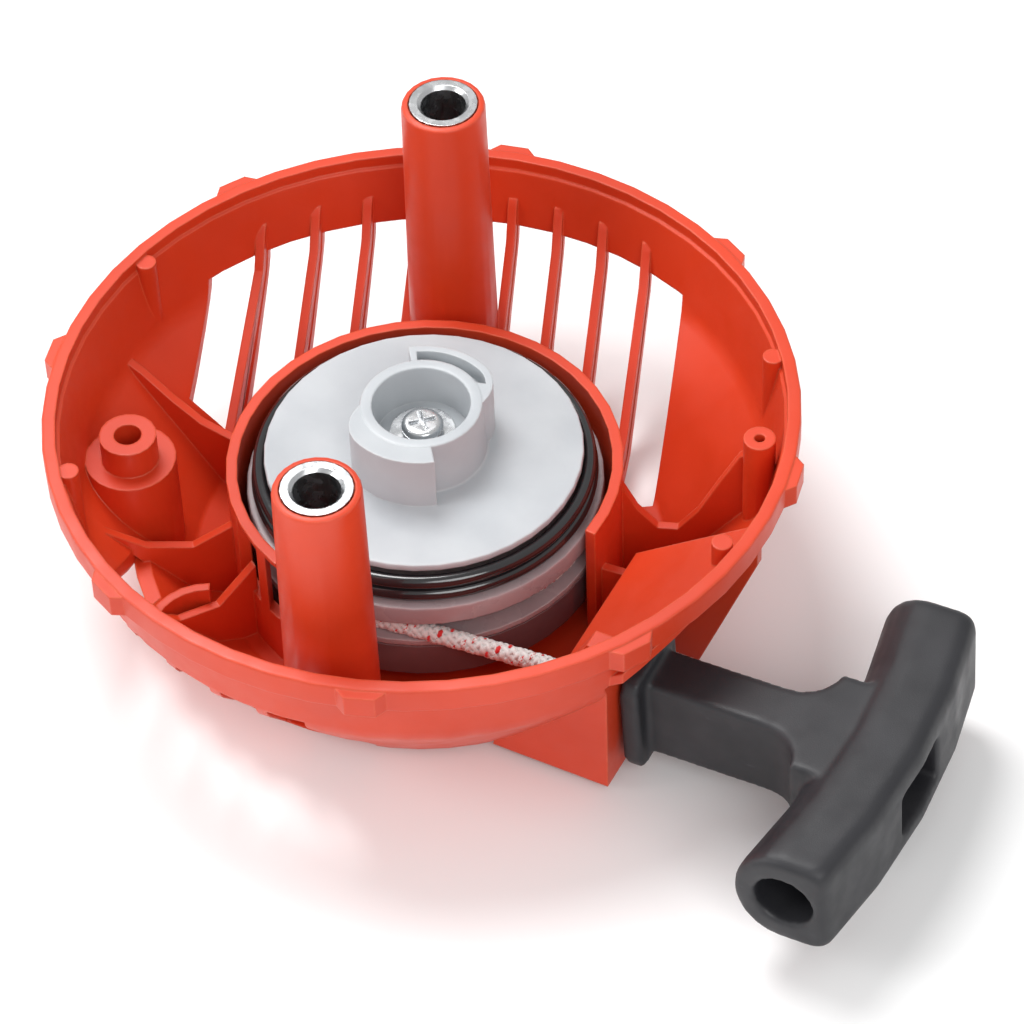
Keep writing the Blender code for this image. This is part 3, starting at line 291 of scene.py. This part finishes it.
def scuff_group():
    """Short pale scuffs and specks, as a mask."""
    group, given, out = new_group(
        "scuffs",
        (("Scale", "NodeSocketFloat", 220.0), ("Share", "NodeSocketFloat", 0.5)),
        (("Mask", "NodeSocketFloat"),),
    )
    place = object_place(group)
    stretch = group.nodes.new("ShaderNodeMapping")
    stretch.inputs["Scale"].default_value = (1, 0.35, 1.6)
    stretch.inputs["Rotation"].default_value = (0.4, 0.2, 0.7)
    group.links.new(place, stretch.inputs["Vector"])
    fine = noise(group, stretch.outputs["Vector"], given["Scale"])
    fine.inputs["Roughness"].default_value = 0.7
    broad = noise(group, place, 38)
    both = product(group, fine.outputs["Fac"], broad.outputs["Fac"])
    mask = spread(group, both, 0.40, 0.46)
    group.links.new(product(group, mask, given["Share"]), out["Mask"])
    return group


SKIN = moulded_skin_group()
TONE = tone_group()
SCUFFS = scuff_group()


# Materials

def place_group(tree, group, **values):
    node = tree.nodes.new("ShaderNodeGroup")
    node.node_tree = group
    for label, value in values.items():
        node.inputs[label.replace("_", " ")].default_value = value
    return node


def blank_material(name, **sockets):
    made = bpy.data.materials.new(name)
    made.use_nodes = True
    shader = made.node_tree.nodes["Principled BSDF"]
    for label, value in sockets.items():
        shader.inputs[label.replace("_", " ")].default_value = value
    return made, made.node_tree, shader


def skinned_tones(tree, shader, skin, tones):
    """Joins a placed skin and placed tones, puts the normal on the shader and gives the colour."""
    tree.links.new(skin.outputs["Edge"], tones.inputs["Edge"])
    tree.links.new(skin.outputs["Normal"], shader.inputs["Normal"])
    return tones.outputs["Color"]


def roughness_drift(tree, shader, low, high, scale):
    drift = noise(tree, object_place(tree), scale, detail=4)
    rough = spread(tree, drift.outputs["Fac"], 0.3, 0.7, low, high)
    tree.links.new(rough, shader.inputs["Roughness"])


def plastic(name, tone, second, pale_wear_and_highlight_tone, drift=30.0, edge_wear_and_highlight_share=0.8, rough=(0.34, 0.46),
            grain=2600.0, grain_depth=0.00002, edge=0.0004, scuffs=0.0, **sockets):
    """A moulded plastic: two drifting tones, soft pale edges of wear and painted highlight, grain
    and, if wanted, scuffs.
    """
    made, tree, shader = blank_material(name, **sockets)
    skin = place_group(tree, SKIN, Grain_Scale=grain, Grain_Depth=grain_depth, Edge_Radius=edge)
    # Pale edges: partly wear, partly painted highlight.
    tones = place_group(tree, TONE, Tone=(*tone, 1), Second_Tone=(*second, 1),
                        Rub_Tone=(*pale_wear_and_highlight_tone, 1), Drift_Scale=drift, Rub=edge_wear_and_highlight_share)
    colour = skinned_tones(tree, shader, skin, tones)
    if scuffs:
        marks = place_group(tree, SCUFFS, Share=scuffs)
        colour = colour_mix(tree, marks.outputs["Mask"], colour, (*pale_wear_and_highlight_tone, 1))
    tree.links.new(colour, shader.inputs["Base Color"])
    roughness_drift(tree, shader, *rough, 160)
    return made


def metal(name, tone, second, rough=(0.18, 0.34)):
    """A plated or bare metal with a slightly uneven, softened surface."""
    made, tree, shader = blank_material(name, Metallic=1.0)
    skin = place_group(tree, SKIN, Grain_Scale=5200.0, Grain_Depth=0.000008, Edge_Radius=0.0002)
    # The pale edge tone is partly wear and partly painted highlight.
    tones = place_group(tree, TONE, Tone=(*tone, 1), Second_Tone=(*second, 1),
                        Rub_Tone=(0.95, 0.95, 0.95, 1), Drift_Scale=140.0, Rub=0.4)
    tree.links.new(skinned_tones(tree, shader, skin, tones), shader.inputs["Base Color"])
    roughness_drift(tree, shader, *rough, 420)
    return made


orange_nylon = plastic(
    "orange nylon", (0.660, 0.050, 0.012), (0.580, 0.040, 0.009), (0.800, 0.160, 0.070),
    edge_wear_and_highlight_share=0.9, rough=(0.36, 0.50), grain=3000.0, grain_depth=0.000025, edge=0.0006,
    Subsurface_Weight=0.06, Subsurface_Radius=(0.0012, 0.0003, 0.0001), Subsurface_Scale=1.0,
)
milky_nylon = plastic(
    "milky nylon", (0.500, 0.525, 0.545), (0.430, 0.455, 0.480), (0.680, 0.700, 0.715),
    drift=60.0, rough=(0.28, 0.42), edge=0.0005,
    Subsurface_Weight=0.35, Subsurface_Radius=(0.002, 0.002, 0.002), Subsurface_Scale=1.0,
)
pink_nylon = plastic(
    "milky nylon of the reel",
    (0.430, 0.360, 0.370), (0.350, 0.280, 0.290), (0.640, 0.560, 0.560),
    drift=60.0, rough=(0.22, 0.36), edge=0.0005,
    Subsurface_Weight=0.3, Subsurface_Radius=(0.002, 0.0015, 0.0015), Subsurface_Scale=1.0,
)
smoky_nylon = plastic(
    "smoky nylon", (0.150, 0.095, 0.100), (0.110, 0.068, 0.074), (0.360, 0.260, 0.260),
    drift=50.0, rough=(0.12, 0.24), edge=0.0005, Coat_Weight=0.25,
)
charcoal_nylon = plastic(
    "charcoal nylon", (0.014, 0.014, 0.017), (0.021, 0.021, 0.025), (0.080, 0.080, 0.090),
    drift=70.0, edge_wear_and_highlight_share=0.5, rough=(0.42, 0.58), grain=4200.0, grain_depth=0.00005,
    edge=0.0008, scuffs=0.35,
)
zinc = metal("zinc plate", (0.700, 0.710, 0.720), (0.600, 0.610, 0.625))
spring_strip = metal("spring strip", (0.260, 0.250, 0.250), (0.200, 0.195, 0.200),
                     rough=(0.25, 0.4))
brass = metal("brass", (0.690, 0.480, 0.190), (0.600, 0.400, 0.150))
black_wire = plastic(
    "black enamel", (0.010, 0.010, 0.011), (0.016, 0.016, 0.018), (0.050, 0.050, 0.055),
    rough=(0.10, 0.20), grain=900.0, grain_depth=0.00001, edge=0.0002, Coat_Weight=0.5,
)


def braid_material():
    """White yarn with painted shade darkening it between the yarns, and red tracer flecks where the
    mesh marks them.
    """
    made, tree, shader = blank_material("white braid", Roughness=0.78, Sheen_Weight=0.25)
    tracer = tree.nodes.new("ShaderNodeAttribute")
    tracer.attribute_name = "tracer"
    crown = tree.nodes.new("ShaderNodeAttribute")
    crown.attribute_name = "crown"
    fibre = noise(tree, object_place(tree), 5200, detail=3).outputs["Fac"]
    whites = colour_mix(tree, fibre, (0.62, 0.59, 0.57, 1), (0.86, 0.84, 0.82, 1))
    # Painted shade: the yarns darken towards their sides and undersides, deepest between the yarns.
    painted_shade_between_yarns = colour_mix(tree, crown.outputs["Fac"], (0.40, 0.36, 0.35, 1), whites)
    flecked = colour_mix(tree, tracer.outputs["Fac"], painted_shade_between_yarns, (0.62, 0.012, 0.012, 1))
    tree.links.new(flecked, shader.inputs["Base Color"])
    bump = grain_bump(tree, fibre, 0.5, 0.0001)
    tree.links.new(bump.outputs["Normal"], shader.inputs["Normal"])
    return made


white_braid = braid_material()


# Camera, lights and floor

camera_data = bpy.data.cameras.new("camera")
camera_data.lens = CAMERA_LENS
camera_data.sensor_width = 36
camera_data.clip_start = 0.05
camera = bpy.data.objects.new("camera", camera_data)
scene.collection.objects.link(camera)
camera.matrix_world = (
    Matrix.Translation(CAMERA_PLACE)
    @ Matrix.Rotation(math.radians(CAMERA_HEADING), 4, "Z")
    @ Matrix.Rotation(math.radians(CAMERA_TILT), 4, "X")
    @ Matrix.Rotation(math.radians(CAMERA_ROLL), 4, "Z")
)
scene.camera = camera
scene.view_settings.view_transform = "Standard"

for light_name, light_place, light_size, light_power in LIGHTS:
    light_data = bpy.data.lights.new(light_name, "AREA")
    light_data.shape = "DISK"
    light_data.size = light_size
    light_data.energy = light_power
    lamp = bpy.data.objects.new(light_name, light_data)
    scene.collection.objects.link(lamp)
    lamp.location = light_place
    aim = Vector(LIGHTS_AIM) - Vector(light_place)
    lamp.rotation_euler = aim.to_track_quat("-Z", "Y").to_euler()

scene.world = bpy.data.worlds.new("studio")
scene.world.use_nodes = True
background = scene.world.node_tree.nodes["Background"]
background.inputs["Color"].default_value = (1, 1, 1, 1)
background.inputs["Strength"].default_value = WORLD_STRENGTH

deselect()
bpy.ops.mesh.primitive_plane_add(size=FLOOR_SIZE, location=(0, 0, -FLOOR_DEPTH))
floor = bpy.context.active_object
floor.name = "floor"
bpy.ops.object.transform_apply(location=True, rotation=False, scale=False)
floor_paint, floor_tree, floor_shader = blank_material("pale floor", Roughness=0.6)
floor_shader.inputs["Base Color"].default_value = (0.90, 0.90, 0.90, 1)
floor.data.materials.append(floor_paint)


# Housing and what is fixed in it

finish_piece(merged_copy("housing", "housing_shell", crease=30), orange_nylon, "housing_group",
             "housing")
for node in ("front_post_bush", "rear_post_bush", "rope_guide", "retaining_washer",
             "spindle_sleeve"):
    finish_piece(merged_copy(node, node + "_plated"), zinc, "housing_group", node)


def cut(obj, cutter):
    work_on(obj)
    step = obj.modifiers.new("cut", "BOOLEAN")
    step.operation = "DIFFERENCE"
    step.object = cutter
    step.solver = "EXACT"
    bpy.ops.object.modifier_apply(modifier=step.name)
    bpy.data.objects.remove(cutter, do_unlink=True)


def upright_cylinder(sides, radius, bottom, top):
    deselect()
    bpy.ops.mesh.primitive_cylinder_add(vertices=sides, radius=radius, depth=top - bottom,
                                        location=(0, 0, (top + bottom) / 2))
    bpy.ops.object.transform_apply(location=True, rotation=False, scale=False)
    return bpy.context.active_object


def pan_head_screw():
    """A cross-recess pan head with its shank under it."""
    low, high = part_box("centre_screw")
    head_radius, head_height, crown_radius = 0.0042, 0.0026, 0.0012
    shank_radius = 0.0019
    recess_size, recess_depth = (0.0054, 0.0011, 0.0030), 0.0003
    recess_turns = (28, 118)
    head = upright_cylinder(64, head_radius, high.z - head_height, high.z)
    head.name = "pan_head_screw"
    bevel = head.modifiers.new("crown", "BEVEL")
    bevel.width = crown_radius
    bevel.segments = 6
    bevel.limit_method = "ANGLE"
    bpy.ops.object.modifier_apply(modifier=bevel.name)
    for turn in recess_turns:
        deselect()
        bpy.ops.mesh.primitive_cube_add(size=1, location=(0, 0, high.z - recess_depth))
        slot = bpy.context.active_object
        slot.scale = recess_size
        slot.rotation_euler = (0, 0, math.radians(turn))
        bpy.ops.object.transform_apply(location=True, rotation=True, scale=True)
        cut(head, slot)
    shank = upright_cylinder(32, shank_radius, low.z, high.z - head_height)
    work_on(head)
    shank.select_set(True)
    bpy.ops.object.join()
    bpy.ops.object.shade_smooth_by_angle(angle=math.radians(35))
    return head


finish_piece(pan_head_screw(), zinc, "housing_group", "centre_screw")

# Small fixed pieces, then the reel and its spring case
for node, name, material, body, slot in (
    ("threaded_insert", "threaded_insert_turned", brass, "housing_group", "brass_insert"),
    ("thrust_washer", "thrust_washer_moulded", milky_nylon, "housing_group", "milky_nylon"),
    ("recoil_spring", "recoil_spring_strip", spring_strip, "housing_group", "spring_steel"),
    ("rope_reel", "rope_reel_moulded", pink_nylon, "reel_group", "milky_nylon"),
    ("spring_case", "spring_case_moulded", smoky_nylon, "reel_group", "smoky_nylon"),
    ("spring_case_cover", "spring_case_cover_pressed", zinc, "reel_group", "zinc_steel"),
):
    finish_piece(merged_copy(node, name), material, body, node)


# Round rods: the assist spring, the rope and its yarns

def eased_climb(share):
    """From 0 to 1 with a gentle start and end."""
    share = min(1, max(0, share))
    return share * share * (3 - 2 * share)


def ring_point(reach, angle, height):
    return Vector((reach * math.cos(angle), reach * math.sin(angle), height))


def across_and_above(line, step):
    """The two directions square to a line at one of its points."""
    ahead = (line[min(step + 1, len(line) - 1)] - line[max(step - 1, 0)]).normalized()
    across = ahead.cross(UP).normalized()
    return across, across.cross(ahead).normalized()


def rod_faces(base, steps, sides):
    """The faces of a closed rod of rings whose first point is numbered base."""
    faces = []
    for step in range(steps):
        ring = base + step * sides
        for side in range(sides):
            following = (side + 1) % sides
            faces.append((ring + side, ring + following,
                          ring + sides + following, ring + sides + side))
    faces.append(tuple(base + side for side in reversed(range(sides))))
    faces.append(tuple(base + steps * sides + side for side in range(sides)))
    return faces


def rod_mesh(name, points, faces, **values):
    """A mesh whose faces point outwards, with the given values stored at its points."""
    mesh = bpy.data.meshes.new(name)
    mesh.from_pydata([tuple(point) for point in points], [], faces)
    for label, stored in values.items():
        mesh.attributes.new(label, "FLOAT", "POINT").data.foreach_set("value", stored)
    obj = bpy.data.objects.new(name, mesh)
    scene.collection.objects.link(obj)
    work_on(obj)
    bpy.ops.object.mode_set(mode="EDIT")
    bpy.ops.mesh.select_all(action="SELECT")
    bpy.ops.mesh.normals_make_consistent(inside=False)
    bpy.ops.object.mode_set(mode="OBJECT")
    return obj


def tube(name, line, radius, sides=14):
    """A round rod swept along a line of points, closed at both ends."""
    points = []
    for step, centre in enumerate(line):
        across, above = across_and_above(line, step)
        for side in range(sides):
            angle = 2 * math.pi * side / sides
            points.append(centre + (across * math.cos(angle) + above * math.sin(angle)) * radius)
    obj = rod_mesh(name, points, rod_faces(0, len(line) - 1, sides))
    bpy.ops.object.shade_smooth_by_angle(angle=math.radians(50))
    return obj


def wound_wire():
    """Two turns of round wire between the cam and the reel, the upper lying on the lower."""
    low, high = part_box("assist_spring")
    lower, upper = low.z + WIRE_RADIUS, high.z - WIRE_RADIUS
    line = []
    for step in range(2 * WIRE_STEPS + 1):
        turn = step / WIRE_STEPS
        climb = eased_climb((turn - CROSSING_START) / CROSSING_SPAN)
        line.append(ring_point(WIRE_REACH - WIRE_TUCK * climb, 2 * math.pi * turn + WIRE_START,
                               lower + (upper - lower) * climb))
    return tube("assist_spring_wound", line, WIRE_RADIUS)


finish_piece(wound_wire(), black_wire, "reel_group", "assist_spring")
finish_piece(merged_copy("drive_cam", "drive_cam_moulded"), milky_nylon, "cam_group",
             "drive_cam")


# Handle and knots

def softened(obj, voxel, rounds):
    """Every edge of a moulding eased, by an even fine mesh that is then relaxed."""
    work_on(obj)
    fine = obj.modifiers.new("even mesh", "REMESH")
    fine.mode = "VOXEL"
    fine.voxel_size = voxel
    bpy.ops.object.modifier_apply(modifier=fine.name)
    ease = obj.modifiers.new("ease edges", "SMOOTH")
    ease.factor = 0.5
    ease.iterations = rounds
    bpy.ops.object.modifier_apply(modifier=ease.name)
    bpy.ops.object.shade_smooth()
    return obj


handle_lean = (
    Matrix.Translation(guide_middle)
    @ Matrix.Rotation(math.radians(-HANDLE_LEAN), 4, PULL_AXIS.cross(-UP))
    @ Matrix.Translation(-guide_middle)
)
handle = softened(merged_copy("pull_handle", "pull_handle_moulded", crease=40), HANDLE_VOXEL,
                  HANDLE_ROUNDS)
handle.data.transform(handle_lean)
finish_piece(handle, charcoal_nylon, "handle_group", "pull_handle")
finish_piece(merged_copy("reel_knot", "reel_knot_yarn", crease=60), white_braid, "reel_group",
             "reel_knot")
handle_knot = merged_copy("handle_knot", "handle_knot_yarn", crease=60)
handle_knot.data.transform(handle_lean)
finish_piece(handle_knot, white_braid, "handle_group", "handle_knot")


# Rope: a round braid from its outermost turn on the reel to the handle

def smooth_route(points, steps):
    """Evenly spaced points along straight runs whose corners are eased."""
    eased = [Vector(point) for point in points]
    for _ in range(4):
        shorter = [eased[0]]
        for a, b in zip(eased, eased[1:]):
            shorter += [a.lerp(b, 0.25), a.lerp(b, 0.75)]
        eased = shorter + [eased[-1]]
    spans = [(b - a).length for a, b in zip(eased, eased[1:])]
    total = sum(spans)
    route, index, passed = [], 0, 0.0
    for step in range(steps + 1):
        wanted = total * step / steps
        while index < len(spans) - 1 and passed + spans[index] < wanted:
            passed += spans[index]
            index += 1
        share = (wanted - passed) / spans[index] if spans[index] else 0
        route.append(eased[index].lerp(eased[index + 1], min(1, share)))
    return route


def yarn_rings(route, radius, way, carrier):
    """Each ring of one yarn as its points, how high each sits (the painted shade between yarns
    follows it), and whether it shows as tracer.
    """
    yarn = radius * YARN_SHARE
    for step, centre in enumerate(route):
        across, above = across_and_above(route, step)
        turn = 2 * math.pi * step / YARN_STEPS
        angle = way * turn + 2 * math.pi * carrier / YARNS_EACH_WAY
        lift = way * math.cos(YARNS_EACH_WAY * turn + math.pi * carrier)
        reach = radius - yarn * (YARN_SINK + YARN_WEAVE * lift)
        out = across * math.cos(angle) + above * math.sin(angle)
        aside = above * math.cos(angle) - across * math.sin(angle)
        middle = centre + out * reach
        fleck = 1.0 if way == 1 and carrier in TRACER_YARNS and lift < TRACER_LIFT else 0.0
        for side in range(YARN_SIDES):
            around = 2 * math.pi * side / YARN_SIDES
            point = (middle + out * yarn * YARN_THICKNESS * math.cos(around)
                     + aside * yarn * YARN_WIDTH * math.sin(around))
            yield point, 0.5 + 0.5 * math.cos(around), fleck


def braided(name, points, radius):
    """Yarns wound both ways round the route, passing over and under each other."""
    length = sum((Vector(b) - Vector(a)).length for a, b in zip(points, points[1:]))
    route = smooth_route(points, int(length / YARN_LAY * YARN_STEPS))
    verts, faces, tracer, crown = [], [], [], []
    for way in (1, -1):
        for carrier in range(YARNS_EACH_WAY):
            faces += rod_faces(len(verts), len(route) - 1, YARN_SIDES)
            for point, height, fleck in yarn_rings(route, radius, way, carrier):
                verts.append(point)
                tracer.append(fleck)
                crown.append(height)
    obj = rod_mesh(name, verts, faces, tracer=tracer, crown=crown)
    bpy.ops.object.shade_smooth()
    return obj


def last_turn():
    """The outermost turn, climbing out of the layer below and ending where the rope leaves."""
    reach = math.hypot(ROPE_START.x, ROPE_START.y)
    leaving = math.atan2(ROPE_START.y, ROPE_START.x)
    line = []
    for step in range(LAST_TURN_STEPS):
        share = step / LAST_TURN_STEPS
        climb = eased_climb(share * CLIMBS_PER_LAST_TURN)
        line.append(ring_point(reach - LAYER_STEP * (1 - climb),
                               leaving - LAST_TURN_ANGLE * (1 - share), ROPE_START.z))
    return line


def wound_layers():
    """The layers of rope under the outermost turn, as stacked round cords."""
    low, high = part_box("rope_coil")
    layers = []
    for reach in LAYER_REACHES:
        line = [ring_point(reach, math.radians(360 / LAYER_POINTS * step), (low.z + high.z) / 2)
                for step in range(LAYER_POINTS)]
        layers.append(tube("wound_rope_layers", line, (high.z - low.z) / 2))
    work_on(layers[0])
    for layer in layers[1:]:
        layer.select_set(True)
    bpy.ops.object.join()
    return layers[0]


finish_piece(wound_layers(), white_braid, "reel_group", "rope_coil")
rope_finish = handle_lean @ ROPE_END
rope_piece = braided("pull_rope_braid", (*last_turn(), ROPE_START, ROPE_BEND, rope_finish),
                     ROPE_RADIUS)
rope_piece.data.materials.append(white_braid)
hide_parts("rope_run")
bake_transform(rope_piece)
